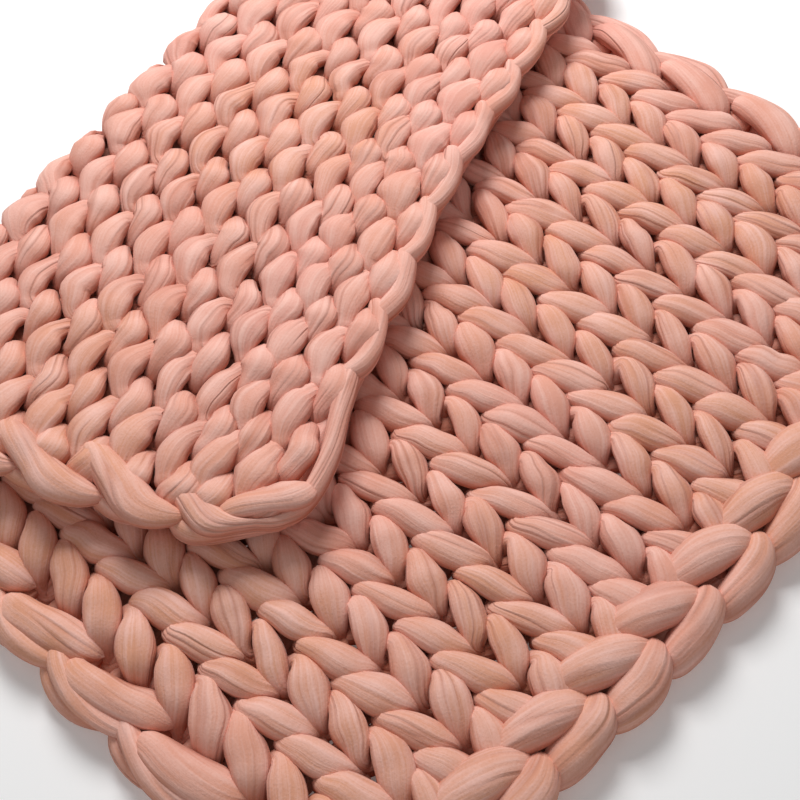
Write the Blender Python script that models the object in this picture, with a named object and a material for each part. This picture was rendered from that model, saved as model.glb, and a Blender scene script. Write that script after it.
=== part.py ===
"""Chunky knit blanket: one thick sheet of plain knitting, its far end folded over on a slant.

The sheet is one closed solid. It is laid out first in knit space, where a point is (wale, row, side):
side +1 is the knit face with its columns of V-shaped leaves, side -1 the purl face with its
staggered bumps. It is then raised into stitches, laid flat, and rolled round the fold. The knit face
lies up on the lower layer and the purl face up on the flap. What the flap hides, and the underside,
are plain and flat. +X runs across the wales, +Y from the chained end to the fold, +Z up.
"""

import math

import bmesh
import bpy
import numpy as np

# Gauge of the knitting, in metres
WALE = 0.075
ROW = 0.051
THICK = 0.046

# Extent of the sheet, in wales and rows
FIRST_V, LAST_V = 1, 12
LEFT, RIGHT = -0.33, 13.2
BIND_OFF, CAST_ON = -2.1, 23.6
CHAIN_INSIDE = -0.6
FULL_V_LINE = 1.5
CAST_ON_FADE = 2.5
CORNER_RADIUS = 0.075
RIM_COLUMN, RIM_LINE = 0.3, 0.45

# How the sheet lies: the fold, the corner of the flap that hangs over the side, uneven rows
FOLD_ROW = 13.0
FOLD_SLANT = math.radians(12.0)
LAYER_GAP = 0.003
HANG_LENGTH = 0.13
ROW_WAVE = 0.008
WAVE_CREST, WAVE_WALES = 2.2, 8.6
TILT_FROM_ROW = 12.0
END_TILT = 0.072
DRIFT = 0.35
DRIFT_FROM_ROW, DRIFT_ROWS = 11.0, 4.0
DRIFT_FADE = 1.5

# Leaves, bumps and edges
TUCKED_END = 0.04
FULLNESS = 0.6
LEAF_LEAN = 3.0
LEAF_DEPTH = 0.020
BUMP_DEPTH = 0.017
BUMP_SHIFT = 0.25
BUMP_PHASE = 0.05
PURL_SHIFT = 0.25
PURL_FADE = 1.0
CHAIN_PROUD = 0.008
CHAIN_DEPTH = 0.022
CHAIN_LEAN = 1.0
CHAIN_PHASE = 1 / 6
CHAIN_FADE = 2.6
EDGE_LEAF_ROWS = 2.0
EDGE_ROUND = 0.024
EDGE_BAND = 0.006
HIDDEN_DROP = 0.001

LEAF_CUTS = 2
COVER_MARGIN = 0.085
SAME_LINE = 0.01
LEVEL_ANGLE = math.radians(0.3)
ROSE_WOOL = (0.73, 0.39, 0.31, 1.0)
WOOL_ROUGHNESS = 0.9

BEND_RADIUS = (THICK + LAYER_GAP) / 2
ALONG_FOLD = np.array([math.cos(FOLD_SLANT), math.sin(FOLD_SLANT)])
ACROSS_FOLD = np.array([-math.sin(FOLD_SLANT), math.cos(FOLD_SLANT)])


def smooth_step(x):
    """0 below 0, 1 above 1, with a level start and finish."""
    x = np.clip(x, 0.0, 1.0)
    return x * x * (3.0 - 2.0 * x)


def off_whole(x):
    """Distance to the nearest whole number, with its sign, from -0.5 to 0.5."""
    return x - np.round(x)


def dome(across):
    """Height of a round strand at this place across it, from -0.5 to 0.5, with 1 at its middle."""
    return np.sqrt(np.maximum(1.0 - (2.0 * across) ** 2, 0.0))


def plump(along):
    """Height of a strand at this place along it, from 0 to 1: full in the middle, low at its ends."""
    return np.sin(math.pi * (along + TUCKED_END) / (1.0 + 2.0 * TUCKED_END)) ** FULLNESS


def leaf_relief(wale, row):
    """Knit face: two leaves a stitch, that start at a hole on the wale's centre line and spread apart."""
    from_centre = np.abs(off_whole(wale))
    return dome(off_whole(row + LEAF_LEAN * from_centre)) * plump(2.0 * from_centre)


def bump_offset(wale):
    """Rows by which a bump lies off its own row: half a row from one bump to the next."""
    return BUMP_PHASE - BUMP_SHIFT * np.sin(2.0 * math.pi * wale)


def bump_relief(wale, row):
    """Purl face: bumps half a wale long, staggered along each row."""
    return dome(off_whole(row - bump_offset(wale))) * plump(2.0 * wale - np.floor(2.0 * wale))


def edge_relief(line):
    """Selvedge: leaves two rows long, that lie along the grid's own lines there."""
    return dome(off_whole((line - 0.5) / EDGE_LEAF_ROWS + 0.5))


def chain_relief(column, row):
    """Bound-off end: a chain with one link a wale, each link two leaves that meet over its middle."""
    return dome(off_whole(column + CHAIN_PHASE)) * plump(np.clip(from_chain_middle(row), 0.0, 1.0))


def from_chain_middle(row):
    """Distance from the chain's middle line, as a share of its half width."""
    middle = (BIND_OFF + CHAIN_INSIDE) / 2
    return np.abs(row - middle) / (CHAIN_INSIDE - middle)


def from_side(wale):
    """Distance to the nearer side of the sheet, in wales."""
    return np.minimum(wale - LEFT, RIGHT - wale)


def flat_place(wale, row):
    """Place on the unfolded sheet, in metres: the rows wave a little and fan out towards the cast-on end,
    and past the fold the wales are drawn a little towards the left selvedge."""
    from_tilt = (row - TILT_FROM_ROW) / (CAST_ON - TILT_FROM_ROW)
    tilt = END_TILT * WALE * (wale - LEFT) * smooth_step(from_tilt)
    wave = ROW_WAVE * np.cos(2.0 * math.pi * (wale - WAVE_CREST) / WAVE_WALES)
    drift = DRIFT * smooth_step((row - DRIFT_FROM_ROW) / DRIFT_ROWS)
    drift = drift * smooth_step(from_side(wale) / DRIFT_FADE)
    return np.stack([WALE * (wale - drift), ROW * row + wave + tilt], axis=-1)


def past_fold(flat):
    """Distance beyond the line where the bend starts, and distance along that line."""
    from_line = flat - np.array([0.0, FOLD_ROW * ROW])
    return from_line @ ACROSS_FOLD, from_line @ ALONG_FOLD


def round_corners(wale, row):
    """Pulls each square corner of the sheet onto a quarter circle; all else stays."""
    side_x = np.where(wale - LEFT < RIGHT - wale, -1.0, 1.0)
    side_y = np.where(row - BIND_OFF < CAST_ON - row, -1.0, 1.0)
    to_side = np.where(side_x < 0, wale - LEFT, RIGHT - wale) * WALE
    to_end = np.where(side_y < 0, row - BIND_OFF, CAST_ON - row) * ROW
    x = np.clip(1.0 - to_side / CORNER_RADIUS, 0.0, 1.0)
    y = np.clip(1.0 - to_end / CORNER_RADIUS, 0.0, 1.0)
    pull_x = x * (1.0 - np.sqrt(1.0 - y * y / 2.0)) * CORNER_RADIUS / WALE
    pull_y = y * (1.0 - np.sqrt(1.0 - x * x / 2.0)) * CORNER_RADIUS / ROW
    return wale - side_x * pull_x, row - side_y * pull_y


def edge_distance(wale, row):
    """Distance in metres from the nearest edge of the sheet."""
    return np.minimum(from_side(wale) * WALE, np.minimum(row - BIND_OFF, CAST_ON - row) * ROW)


def lies_under_flap(wale, row, margin):
    """Whether this place on the lower layer has the flap over it, and no edge of the flap within margin."""
    beyond, along = past_fold(flat_place(wale, row))
    mirrored = (math.pi * BEND_RADIUS - beyond)[..., None] * ACROSS_FOLD + along[..., None] * ALONG_FOLD
    flat = mirrored + np.array([0.0, FOLD_ROW * ROW])
    flap_wale, flap_row = flat[..., 0] / WALE, flat[..., 1] / ROW
    flap_row = flap_row - END_TILT * WALE * (flap_wale - LEFT) / ROW
    return (edge_distance(flap_wale, flap_row) > margin) & (beyond < 0.0)


def leaf_rows(wale, line):
    """Row of each point of a grid line on the knit face: the lines zigzag along the leaves' own slope."""
    zigzag = np.clip((line - CHAIN_INSIDE) / (FULL_V_LINE - CHAIN_INSIDE), 0.0, 1.0)
    zigzag *= np.clip((CAST_ON - line) / CAST_ON_FADE, 0.0, 1.0)
    from_centre = np.where((wale > 0.5) & (wale < LAST_V + 0.5), np.abs(off_whole(wale)), 0.5)
    return line - LEAF_LEAN * from_centre * zigzag * smooth_step(from_side(wale) / (RIGHT - LAST_V - 0.5))


def in_selvedge(wale):
    """Whether this place is in the chained selvedge at either side."""
    return (wale < FIRST_V - 0.5) | (wale > LAST_V + 0.5)


def knit_height(wale, row, line, shows):
    """Height of the knit face over the sheet's middle."""
    relief = np.where(in_selvedge(wale), edge_relief(line), leaf_relief(wale, row))
    fall = LEAF_DEPTH * (1.0 - relief)
    chain_fall = CHAIN_DEPTH * (1.0 - chain_relief(wale, row)) - CHAIN_PROUD
    fall = np.where(line < CHAIN_INSIDE - SAME_LINE, chain_fall, fall)
    return THICK / 2 - np.where(shows, fall, HIDDEN_DROP)


def purl_height(wale, row, line, shows):
    """Depth of the purl face under the sheet's middle."""
    relief = np.where(in_selvedge(wale), edge_relief(line), bump_relief(wale, row))
    return THICK / 2 - BUMP_DEPTH * (1.0 - relief) * shows


def rounded(height, distance):
    """Brings a face down to the narrow band round the sheet's rim, in a quarter circle."""
    short = np.clip(1.0 - distance / EDGE_ROUND, 0.0, 1.0)
    return EDGE_BAND + (height - EDGE_BAND) * np.sqrt(1.0 - short**2)


def roll_over(flat, height):
    """Lays the sheet down: flat before the fold, half round the bend, then back over itself."""
    beyond, along = past_fold(flat)
    turn = np.clip(beyond / BEND_RADIUS, 0.0, math.pi)
    straight = np.minimum(beyond, 0.0) - np.maximum(beyond - math.pi * BEND_RADIUS, 0.0)
    across = straight + (BEND_RADIUS - height) * np.sin(turn)
    plan = along[..., None] * ALONG_FOLD + across[..., None] * ACROSS_FOLD
    plan += np.array([0.0, FOLD_ROW * ROW])
    raised = BEND_RADIUS * (1.0 - np.cos(turn))
    hang = smooth_step((plan[..., 0] - WALE * RIGHT) / HANG_LENGTH)
    up = THICK / 2 + raised * (1.0 - hang) + height * np.cos(turn)
    return np.concatenate([plan, up[..., None]], axis=-1)


def knit_columns():
    """Where the grid's columns lie: half a wale apart, with a narrow one along each rim."""
    inner = [FIRST_V - 0.5 + 0.5 * k for k in range(2 * (LAST_V - FIRST_V + 1) + 1)]
    return [LEFT, LEFT + RIM_COLUMN, *inner, RIGHT - RIM_COLUMN, RIGHT]


def knit_lines():
    """Where the grid's lines lie: a row apart, with closer ones through the chain and along the last edge."""
    chain = [BIND_OFF, (BIND_OFF + CHAIN_INSIDE) / 2, CHAIN_INSIDE]
    rows = [0.5 + k for k in range(math.floor(CAST_ON - 0.5))]
    return [*chain, *rows, CAST_ON - RIM_LINE, CAST_ON]


def make_sheet():
    """The closed sheet in knit space, cut finely where stitches show, and the mark of its raised points."""
    columns, lines = knit_columns(), knit_lines()
    sheet = bmesh.new()
    bmesh.ops.create_grid(sheet, x_segments=len(columns) - 1, y_segments=len(lines) - 1, size=0.5)
    for point in sheet.verts:
        column = round((point.co.x + 0.5) * (len(columns) - 1))
        line = round((point.co.y + 0.5) * (len(lines) - 1))
        point.co = (columns[column], lines[line], 1.0)
    back = bmesh.ops.extrude_face_region(sheet, geom=sheet.faces[:])["geom"]
    for item in back:
        if isinstance(item, bmesh.types.BMVert):
            item.co.z = -1.0
    bmesh.ops.recalc_face_normals(sheet, faces=sheet.faces)

    raised = sheet.verts.layers.float.new("raised")
    shown = [face for face in sheet.faces if face_shows(face)]
    for vert in {vert for face in shown for vert in face.verts}:
        vert[raised] = 1.0
    of_shown = {edge for face in shown for edge in face.edges}
    edges = [edge for edge in sheet.edges if edge in of_shown and not crosses_selvedge(edge)]
    bmesh.ops.subdivide_edges(sheet, edges=edges, cuts=LEAF_CUTS, use_grid_fill=True)
    return sheet, raised


def crosses_selvedge(edge):
    """Whether this edge of a cell runs across the selvedge, where two wide cells are enough."""
    (a, b) = edge.verts
    middle = (a.co.x + b.co.x) / 2
    return bool(abs(a.co.x - b.co.x) > 0 and in_selvedge(middle))


def face_shows(face):
    """Whether the stitches of this cell show: not under the flap, and not on the ground."""
    if abs(face.normal.z) < 0.5:
        return False
    centre = face.calc_center_median()
    wale, row = np.array(centre.x), np.array(centre.y)
    beyond, _ = past_fold(flat_place(wale, row))
    if centre.z > 0:
        return bool(beyond < 0.0 and not lies_under_flap(wale, row - LEAF_LEAN / 4.0, COVER_MARGIN))
    return bool(beyond > 0.0)


def raise_stitches(sheet, raised):
    """Moves the sheet from knit space to where it lies, and raises its stitches at the marked points."""
    shows = np.array([vert[raised] for vert in sheet.verts]) > 0.5
    wale, line, side = np.array([vert.co for vert in sheet.verts]).T
    knit = side > 0
    bump_rows = line + bump_offset(wale) * (shows & ~in_selvedge(wale))
    row = np.clip(np.where(knit, leaf_rows(wale, line), bump_rows), BIND_OFF, CAST_ON)
    height = np.where(knit, knit_height(wale, row, line, shows), purl_height(wale, row, line, shows))
    height = rounded(height, edge_distance(wale, row))
    wale, row = round_corners(wale + np.where(knit, chain_shift(wale, line), purl_shift(wale)), row)
    placed = roll_over(flat_place(wale, row), np.where(knit, height, -height))
    placed[:, :2] -= (placed[:, :2].min(axis=0) + placed[:, :2].max(axis=0)) / 2
    for vert, place in zip(sheet.verts, placed):
        vert.co = place


def in_fixed_order(sheet):
    """The same closed surface with its faces in a fixed order, so that each build gives the same triangles."""
    sheet.verts.index_update()
    loops = [[vert.index for vert in face.verts] for face in sheet.faces]
    starts = [loop.index(min(loop)) for loop in loops]
    ordered = bmesh.new()
    verts = [ordered.verts.new(vert.co) for vert in sheet.verts]
    for loop in sorted(loop[start:] + loop[:start] for loop, start in zip(loops, starts)):
        ordered.faces.new([verts[index] for index in loop])
    ordered.normal_update()
    sheet.free()
    return ordered


def chain_shift(wale, line):
    """Leans the grid's columns along the leaves of the chain, and not at its ends."""
    ends = smooth_step(from_side(wale) / CHAIN_FADE)
    return CHAIN_LEAN * np.clip(1.0 - from_chain_middle(line), 0.0, 1.0) * ends


def purl_shift(wale):
    """Sets the bumps on the wales and halfway between them."""
    return PURL_SHIFT * smooth_step(from_side(wale) / PURL_FADE)


def wool():
    """Matt, unspun rose-coloured wool."""
    material = bpy.data.materials.new("rose_wool")
    material.use_nodes = True
    shader = material.node_tree.nodes["Principled BSDF"]
    shader.inputs["Base Color"].default_value = ROSE_WOOL
    shader.inputs["Roughness"].default_value = WOOL_ROUGHNESS
    return material


def make_blanket(collection):
    """One object, one solid: the folded blanket."""
    sheet, raised = make_sheet()
    raise_stitches(sheet, raised)
    sheet = in_fixed_order(sheet)
    bmesh.ops.dissolve_limit(sheet, angle_limit=LEVEL_ANGLE, verts=sheet.verts, edges=sheet.edges)
    bmesh.ops.triangulate(sheet, faces=sheet.faces, quad_method="SHORT_EDGE", ngon_method="BEAUTY")
    bmesh.ops.recalc_face_normals(sheet, faces=sheet.faces)
    mesh = bpy.data.meshes.new("blanket")
    sheet.to_mesh(mesh)
    sheet.free()
    mesh.materials.append(wool())
    collection.objects.link(bpy.data.objects.new("blanket", mesh))


def main():
    """Clears the scene and builds the blanket in its own collection."""
    for obj in list(bpy.data.objects):
        bpy.data.objects.remove(obj, do_unlink=True)
    collection = bpy.data.collections.new("chunky_knit_blanket")
    bpy.context.scene.collection.children.link(collection)
    make_blanket(collection)


main()
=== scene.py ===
"""Looks of the chunky knit blanket: every strand of its roving, laid out stitch by stitch.

A strand is given in knit space by points of (wale, row, height, half width, half height): wales and rows
are counted as on the needles, and height, in mm as the halves are, runs from the purl face, below 0, to the
knit face, above 0. Strands are then laid flat and rolled over the fold, by the same sizes as the solid.
"""

import math

import bpy
import numpy as np
from mathutils import Matrix, Vector


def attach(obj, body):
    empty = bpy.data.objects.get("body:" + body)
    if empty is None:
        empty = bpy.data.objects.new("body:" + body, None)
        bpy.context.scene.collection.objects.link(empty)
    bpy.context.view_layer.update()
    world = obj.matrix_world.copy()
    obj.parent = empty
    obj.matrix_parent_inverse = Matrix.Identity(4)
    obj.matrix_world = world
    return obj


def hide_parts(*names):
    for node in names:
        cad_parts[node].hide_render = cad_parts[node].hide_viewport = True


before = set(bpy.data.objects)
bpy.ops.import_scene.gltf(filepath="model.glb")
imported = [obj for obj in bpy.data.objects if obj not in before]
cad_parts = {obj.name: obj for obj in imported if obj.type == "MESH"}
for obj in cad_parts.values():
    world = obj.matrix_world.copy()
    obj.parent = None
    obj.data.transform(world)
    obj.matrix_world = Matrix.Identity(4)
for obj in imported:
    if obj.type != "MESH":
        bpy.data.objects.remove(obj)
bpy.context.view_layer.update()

# ---------------------------------------------------------------------------
# Sizes shared with the solid, in metres, wales and rows
# ---------------------------------------------------------------------------
WALE, ROW, THICK = 0.075, 0.051, 0.046
# The first and the last wale of whole stitches, then the sheet's two sides and two ends.
FIRST_V, LAST_V = 1, 12
LEFT, RIGHT = -0.33, 13.2
BIND_OFF, CAST_ON = -2.1, 23.6
CORNER_RADIUS = 0.075
# The fold's row at wale 0 and its slant off the rows, the room between the layers, and the length over which
# the flap's corner sinks past the right selvedge.
FOLD_ROW, FOLD_SLANT = 13.0, math.radians(12.0)
LAYER_GAP = 0.003
HANG_LENGTH = 0.13
# The rows' wave: its height, the wale of a crest, and the wales from one crest to the next.
ROW_WAVE, WAVE_CREST, WAVE_WALES = 0.008, 2.2, 8.6
# The fan of the flap's rows: where it starts, and the slope of the last row.
TILT_FROM_ROW, END_TILT = 12.0, 0.072
# How many wales the flap is drawn to the left, from which row, over how many rows, and over how many wales it
# fades towards the sides.
DRIFT, DRIFT_FROM_ROW, DRIFT_ROWS, DRIFT_FADE = 0.35, 11.0, 4.0, 1.5
# The middle of the folded sheet, which is put over the origin.
CENTRE = np.array([0.54373, 0.40037])
BEND_RADIUS = (THICK + LAYER_GAP) / 2
ALONG_FOLD = np.array([math.cos(FOLD_SLANT), math.sin(FOLD_SLANT)])
ACROSS_FOLD = np.array([-math.sin(FOLD_SLANT), math.cos(FOLD_SLANT)])

# ---------------------------------------------------------------------------
# The roving, and how finely it is made
# ---------------------------------------------------------------------------
MM = 0.001
# Points round a strand, and along it for each point given. Its ends round off over END_POINTS of those given.
AROUND = 14
STEPS = 3
END_POINTS = 1.5
# The roving's radius, the turn of its fibres in radians a metre, how far its lobes stand out, as a share, and
# the length of roving that each strand's fibres are taken from at random.
ROVING_RADIUS = 0.013
TWIST = -8.0
LOBE_SHARE = 0.035
ROVING_LENGTH = 50.0
# Painted shade: the wool's colour is darkened, by the share on the next line, along its sides, where strands
# press together and shade each other, and as much again in the valleys between strands, where shade falls.
# That shade is darkest at half the sheet's thickness, and ends at these heights from it on the knit and the
# purl face.
PAINTED_SHADE_SHARE = 0.6
SIDE_FALL, SIDE_POWER = 1.35, 1.5
VALLEY_HEIGHT, PURL_VALLEY_HEIGHT = 0.012, 0.023
# Unevenness: the usual shift in wales, rows and mm, the usual change of a section as a share, the most of
# both as a multiple of the usual, and what the sum of three shifts in a row is divided by.
RANDOM = np.random.default_rng(20)
SHIFT = np.array([0.025, 0.04, 0.9])
SECTION_SHIFT = 0.11
MOST_SHIFT = 1.7
SHIFT_EASE = 2.2

# The last row, whose loops meet the cast-on edge. Then rows as they are counted, and where they lie on the
# sheet: those of the flap are drawn closer together.
LAST_ROW = 25
ROWS_COUNTED = (-3.0, 14.0, 21.0, 22.0, 23.0, 24.0, 26.0)
ROWS_LIE_AT = (-3.0, 14.0, 20.58, 21.47, 22.15, 23.08, 24.70)


def smooth_step(x):
    """0 below 0, 1 above 1, and 3x^2 - 2x^3 between."""
    x = np.clip(x, 0.0, 1.0)
    return x * x * (3.0 - 2.0 * x)


def flat_place(wale, row):
    """Place on the unfolded sheet: rows wave by a cosine of the wale and fan out towards the cast-on end,
    and past the fold the wales are drawn a little to the left."""
    from_side = np.minimum(wale - LEFT, RIGHT - wale)
    tilt = END_TILT * WALE * (wale - LEFT) * smooth_step((row - TILT_FROM_ROW) / (CAST_ON - TILT_FROM_ROW))
    wave = ROW_WAVE * np.cos(2.0 * math.pi * (wale - WAVE_CREST) / WAVE_WALES)
    drift = DRIFT * smooth_step((row - DRIFT_FROM_ROW) / DRIFT_ROWS) * smooth_step(from_side / DRIFT_FADE)
    return np.stack([WALE * (wale - drift), ROW * row + wave + tilt], axis=-1)


def round_corners(wale, row):
    """Pulls each square corner of the sheet onto a quarter circle, as a square is pulled onto a disc."""
    side_x = np.where(wale - LEFT < RIGHT - wale, -1.0, 1.0)
    side_y = np.where(row - BIND_OFF < CAST_ON - row, -1.0, 1.0)
    to_side = np.where(side_x < 0, wale - LEFT, RIGHT - wale) * WALE
    to_end = np.where(side_y < 0, row - BIND_OFF, CAST_ON - row) * ROW
    x = np.clip(1.0 - to_side / CORNER_RADIUS, 0.0, 1.0)
    y = np.clip(1.0 - to_end / CORNER_RADIUS, 0.0, 1.0)
    pull_x = x * (1.0 - np.sqrt(1.0 - y * y / 2.0)) * CORNER_RADIUS / WALE
    pull_y = y * (1.0 - np.sqrt(1.0 - x * x / 2.0)) * CORNER_RADIUS / ROW
    return wale - side_x * pull_x, row - side_y * pull_y


def roll_over(flat, height):
    """Lays the sheet down: flat before the fold, half round a bend of fixed radius, then back over itself.
    The corner of the flap that passes the right selvedge sinks to the ground."""
    from_line = flat - np.array([0.0, FOLD_ROW * ROW])
    beyond, along = from_line @ ACROSS_FOLD, from_line @ ALONG_FOLD
    turn = np.clip(beyond / BEND_RADIUS, 0.0, math.pi)
    straight = np.minimum(beyond, 0.0) - np.maximum(beyond - math.pi * BEND_RADIUS, 0.0)
    across = straight + (BEND_RADIUS - height) * np.sin(turn)
    plan = along[..., None] * ALONG_FOLD + across[..., None] * ACROSS_FOLD + np.array([0.0, FOLD_ROW * ROW])
    raised = BEND_RADIUS * (1.0 - np.cos(turn))
    hang = smooth_step((plan[..., 0] - WALE * RIGHT) / HANG_LENGTH)
    up = THICK / 2 + raised * (1.0 - hang) + height * np.cos(turn)
    return np.concatenate([plan - CENTRE, up[..., None]], axis=-1)


# ---------------------------------------------------------------------------
# Strands
# ---------------------------------------------------------------------------
def smooth_curve(points, steps):
    """Catmull-Rom curve: between two points, the cubic whose slope at each is half the step from the
    point before it to the point after it. points is (strands, points, values)."""
    before = 2.0 * points[:, :1] - points[:, 1:2]
    after = 2.0 * points[:, -1:] - points[:, -2:-1]
    points = np.concatenate([before, points, after], axis=1)
    segments = points.shape[1] - 3
    place = np.linspace(0.0, segments, segments * steps + 1)
    first = np.minimum(place.astype(int), segments - 1)
    t = (place - first)[:, None]
    a, b, c, d = (points[:, first + k] for k in range(4))
    return 0.5 * (2 * b + (c - a) * t + (2 * a - 5 * b + 4 * c - d) * t**2 + (3 * b - a - 3 * c + d) * t**3)


def unit(vectors):
    """Vectors of length 1."""
    return vectors / np.maximum(np.linalg.norm(vectors, axis=-1, keepdims=True), 1e-9)


def rounded_ends(count, steps):
    """1 along a strand, falling to 0 at its two ends as a quarter circle does."""
    to_end = np.minimum(np.arange(count), np.arange(count)[::-1]) / (END_POINTS * steps)
    return np.sqrt(1.0 - (1.0 - np.clip(to_end, 0.0, 1.0)) ** 2)


def strands(name, points, steps=STEPS, valleys=0.0):
    """A piece of many strands. Each follows a smooth curve through its points, and its section is an ellipse
    whose width lies in the sheet, square to the curve, and whose height is square to both. The ellipse has
    three low lobes and five more, which twist along the strand as its fibres do. Painted shade darkens the
    wool along the strand's two sides, and, by the share valleys, in the valleys between strands at half the
    sheet's thickness."""
    path = smooth_curve(np.asarray(points, float), steps)
    count, samples = path.shape[:2]
    centre = np.stack([WALE * path[..., 0], ROW * path[..., 1], MM * path[..., 2]], axis=-1)
    tangent = unit(np.gradient(centre, axis=1))
    side = unit(np.cross(np.array([0.0, 0.0, 1.0]), tangent))
    up = np.cross(tangent, side)
    ends = rounded_ends(samples, steps)
    width, height = MM * path[..., 3] * ends, MM * path[..., 4] * ends
    length = np.cumsum(np.linalg.norm(np.diff(centre, axis=1, prepend=centre[:, :1]), axis=-1), axis=1)
    start = RANDOM.uniform(0.0, ROVING_LENGTH, (count, 1))

    angle = 2.0 * math.pi * np.arange(AROUND) / AROUND
    twisted = angle + TWIST * length[..., None]
    lobes = 1.0 + LOBE_SHARE * np.cos(3.0 * twisted + start[..., None])
    lobes += LOBE_SHARE * np.cos(5.0 * twisted + 3.0 * start[..., None])
    ring = centre[:, :, None] + (lobes * width[..., None] * np.cos(angle))[..., None] * side[:, :, None]
    ring += (lobes * height[..., None] * np.sin(angle))[..., None] * up[:, :, None]
    wale, row = round_corners(ring[..., 0] / WALE, ring[..., 1] / ROW)
    placed = roll_over(flat_place(wale, row), ring[..., 2])
    placed[..., 2] = np.maximum(placed[..., 2], 0.0)

    # Painted shade: darker in the valleys between strands and along each strand's sides, where strands shade
    # each other.
    out_of_valley = np.maximum(ring[..., 2] / VALLEY_HEIGHT, -ring[..., 2] / PURL_VALLEY_HEIGHT)
    valley_shade = valleys * np.clip(1.0 - out_of_valley, 0.0, 1.0)
    side_shade = np.clip(1.0 - np.abs(np.sin(angle)) * SIDE_FALL, 0.0, 1.0) ** SIDE_POWER
    painted_shade = PAINTED_SHADE_SHARE * (valley_shade + side_shade)
    fibre = np.empty_like(placed)
    fibre[..., 0] = (length + start)[..., None]
    fibre[..., 1] = ROVING_RADIUS * np.cos(twisted)
    fibre[..., 2] = ROVING_RADIUS * np.sin(twisted)
    return make_mesh(name, placed, fibre, painted_shade)


def with_poles(rings):
    """Rings as one list of points a strand, followed by the middles of its first and last rings."""
    count = len(rings)
    poles = np.stack([rings[:, 0].mean(axis=1), rings[:, -1].mean(axis=1)], axis=1)
    return np.concatenate([rings.reshape(count, -1, rings.shape[-1]), poles], axis=1)


def make_mesh(name, rings, fibre, painted_shade):
    """Closed tubes from rings of points (strands, samples, around, 3), with a fan of faces over each end. The
    wool reads two values at each point: the place along and in the roving, and how much painted shade darkens
    it there."""
    count, samples, around = rings.shape[:3]
    ring = np.arange(around)
    following = (ring + 1) % around
    along = np.arange(samples - 1)[:, None] * around
    quads = np.stack([along + ring, along + following, along + around + following, along + around + ring], -1)
    quads = quads.reshape(-1, 4)
    last = (samples - 1) * around
    caps = [np.stack([np.full(around, samples * around), following, ring], -1)]
    caps += [np.stack([np.full(around, samples * around + 1), last + ring, last + following], -1)]
    caps = np.concatenate(caps)
    size = samples * around + 2
    offset = np.arange(count)[:, None, None] * size
    quads = (quads + offset).reshape(-1, 4)
    caps = (caps + offset).reshape(-1, 3)
    points = with_poles(rings).reshape(-1, 3)
    fibres = with_poles(fibre).reshape(-1, 3)
    painted_shade = with_poles(painted_shade[..., None]).ravel()

    mesh = bpy.data.meshes.new(name)
    mesh.vertices.add(len(points))
    mesh.vertices.foreach_set("co", points.astype(np.float32).ravel())
    corners = np.concatenate([quads.ravel(), caps.ravel()])
    mesh.loops.add(len(corners))
    mesh.loops.foreach_set("vertex_index", corners.astype(np.int32))
    starts = np.concatenate([np.arange(len(quads)) * 4, len(quads) * 4 + np.arange(len(caps)) * 3])
    mesh.polygons.add(len(starts))
    mesh.polygons.foreach_set("loop_start", starts.astype(np.int32))
    mesh.polygons.foreach_set("use_smooth", np.ones(len(starts), bool))
    mesh.update(calc_edges=True)
    attribute = mesh.attributes.new("fibre", "FLOAT_VECTOR", "POINT")
    attribute.data.foreach_set("vector", fibres.astype(np.float32).ravel())
    attribute = mesh.attributes.new("painted_shade", "FLOAT", "POINT")
    attribute.data.foreach_set("value", painted_shade.astype(np.float32))
    mesh.validate()
    mesh.materials.append(WOOL)
    piece = bpy.data.objects.new(name, mesh)
    bpy.context.scene.collection.objects.link(piece)
    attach(piece, "root")
    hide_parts("blanket")
    return piece


def uneven(points):
    """Hand-made unevenness: seeded shifts of the points and of the section, each eased into the next ones."""
    shifts = RANDOM.normal(size=points.shape[:2] + (4,)).clip(-MOST_SHIFT, MOST_SHIFT)
    shifts[:, 1:-1] = (shifts[:, :-2] + shifts[:, 1:-1] + shifts[:, 2:]) / SHIFT_EASE
    points = points.copy()
    points[..., :3] += shifts[..., :3] * SHIFT
    points[..., 3:] *= 1.0 + SECTION_SHIFT * shifts[..., 3:]
    return points


def on_sheet(points):
    """The same points with their counted rows turned to the places where those rows lie."""
    points = points.copy()
    points[..., 1] = np.interp(points[..., 1], ROWS_COUNTED, ROWS_LIE_AT)
    return points


# ---------------------------------------------------------------------------
# Rows of stitches
# ---------------------------------------------------------------------------
# The left half of a stitch: from the sinker at its foot, on the purl face, up along the leg on the knit face,
# down through the row before it and along to its head, whose middle is given on its own. Wales and rows count
# from the stitch's own.
HALF_STITCH = np.array([
    (-0.50, 0.14, -16.0, 17.5, 11.0),
    (-0.33, 0.07, -12.5, 15.0, 10.5),
    (-0.185, -0.01, -6.5, 13.0, 10.0),
    (-0.11, -0.05, 1.0, 12.0, 10.0),
    (-0.10, -0.17, 7.5, 11.0, 10.5),
    (-0.175, -0.42, 11.0, 15.5, 12.0),
    (-0.25, -0.71, 10.5, 17.5, 12.0),
    (-0.34, -0.97, 7.0, 15.0, 11.0),
    (-0.43, -1.17, -0.5, 10.0, 9.5),
    (-0.435, -1.27, -8.0, 11.5, 8.5),
    (-0.34, -1.37, -10.5, 12.0, 9.5),
    (-0.18, -1.44, -14.3, 15.0, 10.8),
])
HEAD = np.array([(0.0, -1.47, -16.0, 18.0, 11.0)])
# How far, in rows, each of those points lies lower at the left of the stitch, and higher at its right.
LEAN = np.array([0.0, 0.03, 0.06, 0.08, 0.08, 0.06, 0.03, 0.0, 0.0, 0.0, 0.0, 0.0])
# The left end of a row, before its first stitch. The right end mirrors it.
COURSE_END = np.array([(-0.78, -0.10, 1.0, 12.0, 7.5), (-0.62, 0.05, -8.0, 17.0, 10.0)])
# How far the outermost stitches reach out and how much they widen, over SIDE_WALES from their middle.
SIDE_REACH, SIDE_WIDTH, SIDE_WALES = 1.0, 0.3, 0.45
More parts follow.
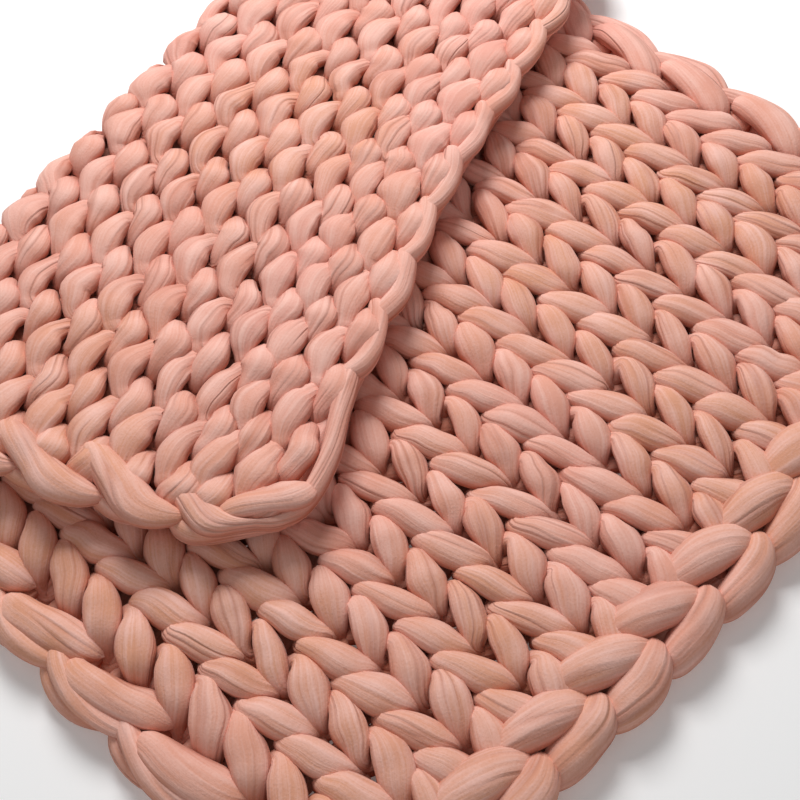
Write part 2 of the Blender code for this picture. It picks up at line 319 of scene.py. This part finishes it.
# Where the ends of their legs start to drop, in rows and in wales from the middle, over how many wales, and
# by how many mm.
LEG_END, LEG_END_FROM, LEG_END_OVER, LEG_END_DROP = -1.1, 0.3, 0.13, 12.0
# Loops of the row at the cast-on end, which have no yarn between them: how long and how wide they are, as
# shares of a stitch, and the point of HALF_STITCH that they start from.
END_LOOP_LENGTH, END_LOOP_WIDTH = 0.45, 1.12
LEG_FROM = 3


def mirrored(points):
    """The same points for the other leg, in the order in which the yarn goes on."""
    return points[::-1] * np.array([-1.0, 1.0, 1.0, 1.0, 1.0])


def links(leaves, places, axis):
    """Copies of a link's leaves, or of a stitch, one set for each place along an axis: 0 for wales, 1 for
    rows."""
    points = np.repeat(leaves[None], len(places), axis=0)
    points[..., axis] += places[:, None, None]
    return points.reshape(-1, *leaves.shape[1:])


def stitch_points(first):
    """A stitch from a point of its left half to the same point of its right half."""
    lean = LEAN[first:, None] * np.array([0.0, 1.0, 0.0, 0.0, 0.0])
    return np.concatenate([HALF_STITCH[first:] - lean, HEAD, mirrored(HALF_STITCH[first:] + lean)])


def course(row):
    """One row of knitting: a stitch a wale, with one strand through them all. Towards a selvedge the
    outermost stitches reach out by the square of the distance from their middle, and widen. Before the fold,
    the ends of their legs drop under the selvedge."""
    points = links(stitch_points(0)[None, :-1], np.arange(FIRST_V, LAST_V + 1), 0).reshape(-1, 5)
    to_first, to_last = ([wale, 0.0, 0.0, 0.0, 0.0] for wale in (FIRST_V, LAST_V))
    foot = mirrored(HALF_STITCH[:1])
    points = np.concatenate([COURSE_END + to_first, points, foot + to_last, mirrored(COURSE_END) + to_last])
    outward = np.minimum(points[:, 0] - FIRST_V, 0.0) + np.maximum(points[:, 0] - LAST_V, 0.0)
    distance = np.abs(outward)
    if row < FOLD_ROW:
        end_share = np.clip((distance - LEG_END_FROM) / LEG_END_OVER, 0.0, 1.0) * (points[:, 1] < LEG_END)
        points[:, 2] -= LEG_END_DROP * end_share
    points[:, 1] += row
    points[:, 0] += SIDE_REACH * outward * np.minimum(distance, SIDE_WALES)
    points[:, 3] *= 1.0 + SIDE_WIDTH * np.minimum(distance, SIDE_WALES)
    return on_sheet(points)


def knit_rows(name, first, last):
    """The rows from first to last as one piece."""
    strands(name, uneven(np.stack([course(row) for row in range(first, last + 1)])), valleys=1.0)


def end_loops(name):
    """The loops of the last row, next to the cast-on edge: two legs and a head each."""
    loop = stitch_points(LEG_FROM)
    loop[:, 1] = HEAD[0, 1] + (loop[:, 1] - HEAD[0, 1]) * END_LOOP_LENGTH + LAST_ROW
    loop[:, 3] *= END_LOOP_WIDTH
    strands(name, uneven(on_sheet(links(loop[None], np.arange(FIRST_V, LAST_V + 1), 0))))


# ---------------------------------------------------------------------------
# Selvedges
# ---------------------------------------------------------------------------
# A link of a selvedge: three leaves over two rows, from the upper end down. Wales count inwards, from 0 at
# the left and from RIGHT_SELVEDGE at the right, and rows from the link's own place.
SELVEDGE_LEAVES = np.array([
    [  # knit face
        (-0.04, 0.22, -9.0, 9.0, 8.0),
        (-0.07, -0.04, -2.0, 12.5, 11.0),
        (-0.05, -0.36, 5.5, 16.0, 12.5),
        (0.02, -0.82, 8.5, 18.5, 13.0),
        (0.12, -1.36, 8.0, 19.0, 12.5),
        (0.26, -1.86, 4.5, 18.0, 11.0),
        (0.38, -2.22, -5.0, 14.5, 9.5),
    ],
    [  # rim
        (0.08, 0.75, 1.0, 8.0, 8.0),
        (-0.04, 0.42, 1.0, 10.5, 10.0),
        (-0.15, 0.00, 1.0, 12.5, 12.0),
        (-0.21, -0.52, 1.5, 13.0, 13.0),
        (-0.21, -1.02, 1.5, 12.5, 12.5),
        (-0.12, -1.52, 1.0, 10.5, 10.5),
        (0.02, -1.95, 1.0, 8.0, 8.0),
    ],
    [  # purl face
        (-0.08, 0.74, -5.0, 9.0, 8.0),
        (-0.21, 0.28, -10.0, 15.5, 12.0),
        (-0.20, -0.40, -14.5, 20.0, 13.0),
        (0.02, -1.03, -15.5, 21.0, 13.5),
        (0.30, -1.60, -15.5, 20.0, 13.0),
        (0.57, -2.08, -12.0, 16.5, 11.5),
        (0.78, -2.38, -2.0, 10.5, 9.0),
    ],
])
# Points along its strands for each point given.
SELVEDGE_STEPS = 5
# Where the links are, a link for every two rows.
LINK_ROWS = 2.0
LEFT_LINKS = np.arange(0.05, LAST_ROW, LINK_ROWS)
RIGHT_LINKS = np.arange(-0.6, LAST_ROW, LINK_ROWS)
RIGHT_SELVEDGE = 12.97
# Rows near the bound-off end, and where the selvedges' leaves keep them, so that they tuck in at its corners.
TUCKED_ROWS = (-3.2, -1.5)
TUCKED_AT = (-1.85, -1.5)


def selvedge(name, places, at_right=False):
    """A chain along one side: a link for every two rows. At the left of the cast-on end, the turn of the
    yarn takes the place of the last leaf on the purl face."""
    points = on_sheet(links(SELVEDGE_LEAVES, places, 1))
    rows = points[..., 1]
    points[..., 1] = np.where(rows < TUCKED_ROWS[1], np.interp(rows, TUCKED_ROWS, TUCKED_AT), rows)
    if at_right:
        points[..., 0] = RIGHT_SELVEDGE - points[..., 0]
    else:
        points = points[:-1]
    strands(name, uneven(points), steps=SELVEDGE_STEPS)


# ---------------------------------------------------------------------------
# Bound-off end and cast-on end
# ---------------------------------------------------------------------------
# Points along the strands of both ends for each point given.
EDGE_STEPS = 6
# A link of the bound-off chain: its two leaves and the yarn under them, from the tucked end on. Wales count
# from the link's own, and rows from the first one.
CHAIN_LEAVES = np.array([
    [  # inner
        (-0.42, -0.78, -4.0, 8.0, 8.0),
        (-0.28, -0.82, 5.0, 13.0, 12.0),
        (-0.06, -0.88, 11.5, 18.5, 15.0),
        (0.24, -0.95, 14.0, 21.5, 16.5),
        (0.54, -1.08, 13.0, 20.5, 16.0),
        (0.77, -1.22, 8.0, 16.0, 13.5),
        (0.90, -1.36, -3.0, 10.0, 10.0),
    ],
    [  # outer
        (-0.30, -1.70, -12.0, 9.0, 9.0),
        (-0.08, -1.76, -6.0, 15.0, 15.0),
        (0.18, -1.76, 0.0, 19.5, 19.0),
        (0.45, -1.72, 3.5, 21.5, 20.5),
        (0.70, -1.63, 5.5, 21.0, 20.0),
        (0.90, -1.48, 4.5, 16.5, 16.0),
        (1.02, -1.34, -3.0, 10.0, 11.0),
    ],
    [  # under
        (-0.45, -1.10, -12.0, 8.0, 7.0),
        (-0.20, -1.25, -12.0, 14.0, 10.0),
        (0.10, -1.40, -12.0, 19.0, 11.0),
        (0.40, -1.45, -12.0, 20.0, 11.0),
        (0.70, -1.35, -12.0, 18.0, 10.5),
        (0.90, -1.20, -12.0, 13.0, 10.0),
        (1.00, -1.10, -12.0, 8.0, 7.0),
    ],
])


def bound_off_edge(name):
    """The chain of the last row: one link a wale."""
    strands(name, uneven(links(CHAIN_LEAVES, np.arange(0.0, LAST_V + 1), 0)), steps=EDGE_STEPS)


# A wale of the cast-on edge: a thin strand that rises from under the one before it and sinks at the next.
# Rows count from the edge.
CAST_ON_STRAND = np.array([
    (-0.34, -0.62, -4.0, 8.5, 9.0),
    (-0.20, -0.36, -9.0, 10.0, 10.0),
    (0.00, -0.18, -12.0, 10.5, 10.5),
    (0.28, -0.09, -13.0, 10.5, 10.5),
    (0.56, -0.13, -13.5, 10.5, 10.5),
    (0.80, -0.24, -13.0, 10.5, 10.5),
    (0.98, -0.38, -9.0, 9.0, 9.5),
    (1.08, -0.52, -1.0, 8.0, 8.0),
])
FIRST_STRAND_AT = 3
# The yarn under them along the whole edge: its first wale, its end and the step between its points. Then the
# row, height and halves of them all.
EDGE_YARN_FROM, EDGE_YARN_TO, EDGE_YARN_STEP = -0.05, LAST_V + 0.8, 0.35
EDGE_YARN = (-0.36, 6.0, 13.0, 14.0)
# The turn of the yarn at the flap's corner: up along the selvedge, round, and along the edge as its first
# thin strand. Then the broad leaf inside the turn, which the edge's other end mirrors.
CORNER_TURN = np.array([
    (0.56, -2.38, 0.0, 9.0, 8.0),
    (0.40, -2.16, -8.0, 15.0, 11.0),
    (0.16, -1.74, -12.5, 19.0, 12.5),
    (-0.04, -1.28, -13.0, 20.0, 12.5),
    (-0.15, -0.80, -12.0, 17.5, 12.5),
    (-0.15, -0.34, -9.5, 14.5, 12.5),
    (-0.03, -0.02, -7.0, 12.0, 12.5),
    (0.25, 0.10, -5.0, 11.0, 12.5),
    (0.70, 0.15, -5.0, 10.5, 12.0),
    (1.15, 0.16, -7.5, 10.5, 11.5),
    (1.60, 0.10, -11.0, 10.5, 11.0),
    (2.10, -0.06, -13.0, 10.5, 10.5),
    (2.55, -0.22, -13.0, 10.5, 10.5),
    (2.85, -0.36, -9.0, 9.0, 9.5),
    (3.00, -0.50, -1.0, 8.0, 8.0),
])
CORNER_LEAF = np.array([
    (0.04, -1.00, -3.0, 13.0, 8.0),
    (0.12, -0.86, -12.0, 19.0, 11.0),
    (0.31, -0.57, -16.5, 22.0, 12.5),
    (0.58, -0.27, -17.0, 22.0, 12.5),
    (0.84, -0.08, -15.5, 20.0, 12.5),
    (1.03, -0.02, -9.5, 15.0, 11.0),
    (1.12, -0.03, 0.0, 10.0, 8.0),
])


def cast_on_edge(name):
    """The first row's edge: yarn along it, thin strands that overlap from wale to wale, the turn at the
    flap's corner, and a broad leaf at each end."""
    wales = np.arange(EDGE_YARN_FROM, EDGE_YARN_TO, EDGE_YARN_STEP)
    yarn = np.concatenate([wales[:, None], np.repeat([EDGE_YARN], len(wales), axis=0)], axis=1)[None]
    across = links(CAST_ON_STRAND[None], np.arange(FIRST_STRAND_AT, LAST_V), 0)
    corners = np.stack([CORNER_LEAF, CORNER_LEAF])
    corners[1, :, 0] = RIGHT_SELVEDGE - corners[1, :, 0]
    pieces = [("_yarn", yarn, STEPS), ("_strands", across, EDGE_STEPS),
              ("_turn", CORNER_TURN[None], EDGE_STEPS), ("_corner", corners, EDGE_STEPS)]
    for ending, points, steps in pieces:
        strands(name + ending, uneven(points + [0.0, CAST_ON, 0.0, 0.0, 0.0]), steps=steps)


# ---------------------------------------------------------------------------
# Wool
# ---------------------------------------------------------------------------
class Value:
    """A number that varies over the surface. Arithmetic on it adds Math nodes to its material."""

    def __init__(self, finish, socket):
        self.finish, self.socket = finish, socket

    def math(self, operation, *values):
        """The result of one Math node on these values."""
        return self.finish.node("ShaderNodeMath", {"operation": operation}, dict(enumerate(values)))

    def __add__(self, other):
        return self.math("ADD", self, other)

    def __sub__(self, other):
        return self.math("SUBTRACT", self, other)

    def __rsub__(self, other):
        return self.math("SUBTRACT", other, self)

    def __mul__(self, other):
        return self.math("MULTIPLY", self, other)

    def __abs__(self):
        return self.math("ABSOLUTE", self)

    __radd__ = __add__
    __rmul__ = __mul__


class Finish:
    """A material that is built node by node."""

    def __init__(self, name):
        self.material = bpy.data.materials.new(name)
        self.material.use_nodes = True
        self.tree = self.material.node_tree
        self.shader = self.tree.nodes["Principled BSDF"]

    def node(self, kind, settings=None, inputs=None, output=0):
        """A node of this kind, with its settings first and then its sockets' values or links."""
        node = self.tree.nodes.new(kind)
        for name, value in (settings or {}).items():
            setattr(node, name, value)
        for key, value in (inputs or {}).items():
            self.plug(node.inputs[key], value)
        return Value(self, node.outputs[output])

    def plug(self, socket, value):
        """Gives a socket a value or a link."""
        if isinstance(value, Value):
            self.tree.links.new(value.socket, socket)
        else:
            socket.default_value = value

    def noise(self, coordinates, scale, detail, roughness=0.5):
        """Noise on coordinates that are first scaled along each axis."""
        inputs = {"Vector": coordinates, "Scale": scale}
        scaled = self.node("ShaderNodeMapping", {"vector_type": "POINT"}, inputs)
        inputs = {"Vector": scaled, "Scale": 1.0, "Detail": detail, "Roughness": roughness}
        return self.node("ShaderNodeTexNoise", {"noise_dimensions": "3D"}, inputs)

    def limit(self, value):
        """The value kept between 0 and 1."""
        return self.node("ShaderNodeClamp", None, {"Value": value})

    def mix(self, factor, a, b):
        """Colour a turned to colour b by the factor. The node's sockets share names, so they go by number."""
        settings = {"data_type": "RGBA", "blend_type": "MIX", "clamp_factor": True}
        return self.node("ShaderNodeMix", settings, {0: factor, 6: a, 7: b}, output=2)

    def surface(self, inputs):
        """Gives the surface its colour, roughness and the like."""
        for name, value in inputs.items():
            self.plug(self.shader.inputs[name], value)


ROSE_PINK = (0.85, 0.398, 0.322, 1.0)
ROSE_TAN = (0.79, 0.372, 0.240, 1.0)
ROSE_PALE = (0.94, 0.550, 0.462, 1.0)
# The colour of painted shade, mixed in along the strands' sides, in the valleys between them and in creases.
ROSE_PAINTED_SHADE = (0.43, 0.103, 0.050, 1.0)
# Noise in the roving, finer across the fibres than along them: hairs, bundles of them, the folds between the
# bundles, and where such folds are.
HAIRS = {"scale": (14.0, 620.0, 620.0), "detail": 2.0, "roughness": 0.55}
BUNDLES = {"scale": (8.0, 150.0, 150.0), "detail": 1.0}
FOLDS = {"scale": (5.0, 88.0, 88.0), "detail": 0.0}
FOLDED = {"scale": (7.0, 40.0, 40.0), "detail": 0.0}
# Noise through the whole blanket: patches of tone, tones from stitch to stitch, and fuzz.
PATCHES = {"scale": (5.0, 5.0, 5.0), "detail": 1.0}
STITCH_TONES = {"scale": (26.0, 26.0, 26.0), "detail": 1.0}
FUZZ = {"scale": (420.0, 420.0, 420.0), "detail": 2.0, "roughness": 0.6}
# The value that noise lies about.
MIDDLE = 0.5
# A crease lies where FOLDS is near its middle and FOLDED is over CREASED_FROM.
CREASE_SHARPNESS, CREASED_FROM, CREASED_SHARPNESS = 10.0, 0.44, 5.0
# The share of each tone: what there is of it everywhere, then what each thing adds to it. The two that go
# with the distance from the middle, in metres, take away from it, so that tan grows towards the bound-off end
# and the left selvedge, the side away from the key light: this is painted shade.
TAN, TAN_BY_PATCH, PAINTED_SHADE_TAN_TO_FOLD, PAINTED_SHADE_TAN_TO_RIGHT = 0.45, 2.6, 0.9, 0.5
PALE, PALE_BY_HAIR, PALE_BY_BUNDLE, PALE_BY_STITCH, PALE_BY_FUZZ = 0.44, 1.5, 1.3, 1.4, 0.8
# Painted shade in the creases: the share of the shade colour they get.
PAINTED_SHADE_BY_CREASE = 0.34
# What each thing adds to the relief, and the relief's strength and height in metres.
HAIR_RELIEF, BUNDLE_RELIEF, FUZZ_RELIEF, CREASE_RELIEF = 0.45, 1.9, 0.5, 1.1
BUMP_STRENGTH, BUMP_HEIGHT = 0.6, 0.0015
WOOL_ROUGHNESS, WOOL_SPECULAR = 0.75, 0.25
SHEEN, SHEEN_ROUGHNESS, SHEEN_TINT = 0.15, 0.4, (1.0, 0.82, 0.75, 1.0)


def unspun_wool():
    """Matt roving: soft fibres along the strand, a few creases between bundles of them, sunk by the relief
    and darkened by painted shade, a tone that changes slowly at random from pink to tan, with painted shade
    that makes more of it tan towards the bound-off end and the left selvedge, and painted shade along the
    sides, where strands press together, and in the valleys between them."""
    wool = Finish("dusty_rose_roving")
    # An attribute's outputs are 1 for a vector and 2 for a number. Output 3 is the place on the object.
    fibre = wool.node("ShaderNodeAttribute", {"attribute_name": "fibre"}, output=1)
    painted_shade = wool.node("ShaderNodeAttribute", {"attribute_name": "painted_shade"}, output=2)
    place = wool.node("ShaderNodeTexCoord", output=3)
    to_right, to_fold = (wool.node("ShaderNodeSeparateXYZ", None, {"Vector": place}, axis) for axis in (0, 1))
    hairs = wool.noise(fibre, **HAIRS)
    bundles = wool.noise(fibre, **BUNDLES)
    folds = wool.noise(fibre, **FOLDS)
    folded = wool.noise(fibre, **FOLDED)
    patches = wool.noise(place, **PATCHES)
    stitch_tone = wool.noise(place, **STITCH_TONES)
    fuzz = wool.noise(place, **FUZZ)

    crease = wool.limit(1.0 - abs(folds - MIDDLE) * CREASE_SHARPNESS)
    crease = crease * wool.limit((folded - CREASED_FROM) * CREASED_SHARPNESS)
    # Painted shade: more tan towards the bound-off end and the left selvedge, away from the key light. The
    # patches are the wool's own random tone.
    tan = (patches - MIDDLE) * TAN_BY_PATCH - to_fold * PAINTED_SHADE_TAN_TO_FOLD - to_right * PAINTED_SHADE_TAN_TO_RIGHT + TAN
    pale = (hairs - MIDDLE) * PALE_BY_HAIR + (bundles - MIDDLE) * PALE_BY_BUNDLE
    pale = pale + (stitch_tone - MIDDLE) * PALE_BY_STITCH + (fuzz - MIDDLE) * PALE_BY_FUZZ + PALE
    colour = wool.mix(wool.limit(tan), ROSE_PINK, ROSE_TAN)
    colour = wool.mix(wool.limit(pale), colour, ROSE_PALE)
    # Painted shade: colour turned towards the shade colour in the creases, along the strands' sides and in
    # the valleys between strands.
    colour = wool.mix(wool.limit(crease * PAINTED_SHADE_BY_CREASE + painted_shade), colour, ROSE_PAINTED_SHADE)
    relief = hairs * HAIR_RELIEF + bundles * BUNDLE_RELIEF + fuzz * FUZZ_RELIEF - crease * CREASE_RELIEF
    bump = {"Strength": BUMP_STRENGTH, "Distance": BUMP_HEIGHT, "Height": relief}
    wool.surface({
        "Base Color": colour,
        "Normal": wool.node("ShaderNodeBump", None, bump),
        "Roughness": WOOL_ROUGHNESS,
        "Specular IOR Level": WOOL_SPECULAR,
        "Sheen Weight": SHEEN,
        "Sheen Roughness": SHEEN_ROUGHNESS,
        "Sheen Tint": SHEEN_TINT,
    })
    return wool.material


# ---------------------------------------------------------------------------
# Studio
# ---------------------------------------------------------------------------
CAMERA_PLACE = (-0.5998, -0.6666, 1.1307)
CAMERA_TARGET = (-0.1210, -0.1054, 0.0)
CAMERA_ROLL = math.radians(-6.84)
LENS, SENSOR = 57.5, 36.0
WHITE = (1.0, 1.0, 1.0, 1.0)
FLOOR_SIZE = 12.0
FLOOR_COLOUR, FLOOR_ROUGHNESS, FLOOR_GLOW = (0.96, 0.96, 0.96, 1.0), 0.9, 0.08
ROOM_LIGHT = 0.235
# Each soft box: its name, its place, its side in metres and its power in watts.
SOFT_BOXES = [
    ("key", (0.9, 1.1, 1.9), 1.1, 53.0),
    ("fill", (-1.8, -0.9, 1.6), 1.8, 4.0),
]


def pale_floor():
    """A plain pale floor, level with the underside."""
    mesh = bpy.data.meshes.new("floor")
    half = FLOOR_SIZE / 2
    corners = [(-half, -half, 0.0), (half, -half, 0.0), (half, half, 0.0), (-half, half, 0.0)]
    mesh.from_pydata(corners, [], [(0, 1, 2, 3)])
    finish = Finish("pale_floor")
    finish.surface({
        "Base Color": FLOOR_COLOUR,
        "Roughness": FLOOR_ROUGHNESS,
        "Emission Color": WHITE,
        "Emission Strength": FLOOR_GLOW,
    })
    mesh.materials.append(finish.material)
    floor = bpy.data.objects.new("floor", mesh)
    bpy.context.scene.collection.objects.link(floor)


def soft_box(name, place, size, power):
    """A square light that points at the origin."""
    light = bpy.data.lights.new(name, "AREA")
    light.shape, light.size, light.energy = "SQUARE", size, power
    lamp = bpy.data.objects.new(name, light)
    lamp.location = place
    lamp.rotation_euler = (-Vector(place)).to_track_quat("-Z", "Y").to_euler()
    bpy.context.scene.collection.objects.link(lamp)


def studio():
    """Floor, lights, surroundings and camera."""
    pale_floor()
    for box in SOFT_BOXES:
        soft_box(*box)
    world = bpy.data.worlds.new("white_room")
    world.use_nodes = True
    background = world.node_tree.nodes["Background"]
    background.inputs["Color"].default_value = WHITE
    background.inputs["Strength"].default_value = ROOM_LIGHT
    bpy.context.scene.world = world
    bpy.context.scene.view_settings.view_transform = "Standard"

    camera = bpy.data.cameras.new("camera")
    camera.lens, camera.sensor_width = LENS, SENSOR
    view = bpy.data.objects.new("camera", camera)
    turn = (Vector(CAMERA_TARGET) - Vector(CAMERA_PLACE)).to_track_quat("-Z", "Y").to_matrix()
    turn = turn @ Matrix.Rotation(CAMERA_ROLL, 3, "Z")
    view.matrix_world = Matrix.Translation(CAMERA_PLACE) @ turn.to_4x4()
    bpy.context.scene.collection.objects.link(view)
    bpy.context.scene.camera = view


WOOL = unspun_wool()
knit_rows("rows_0_to_6", 0, 6)
knit_rows("rows_7_to_12", 7, 12)
knit_rows("rows_13_to_18", 13, 18)
knit_rows("rows_19_to_24", 19, LAST_ROW - 1)
end_loops("end_loops")
selvedge("left_selvedge", LEFT_LINKS)
selvedge("right_selvedge", RIGHT_LINKS, at_right=True)
bound_off_edge("bound_off_chain")
cast_on_edge("cast_on_edge")
studio()
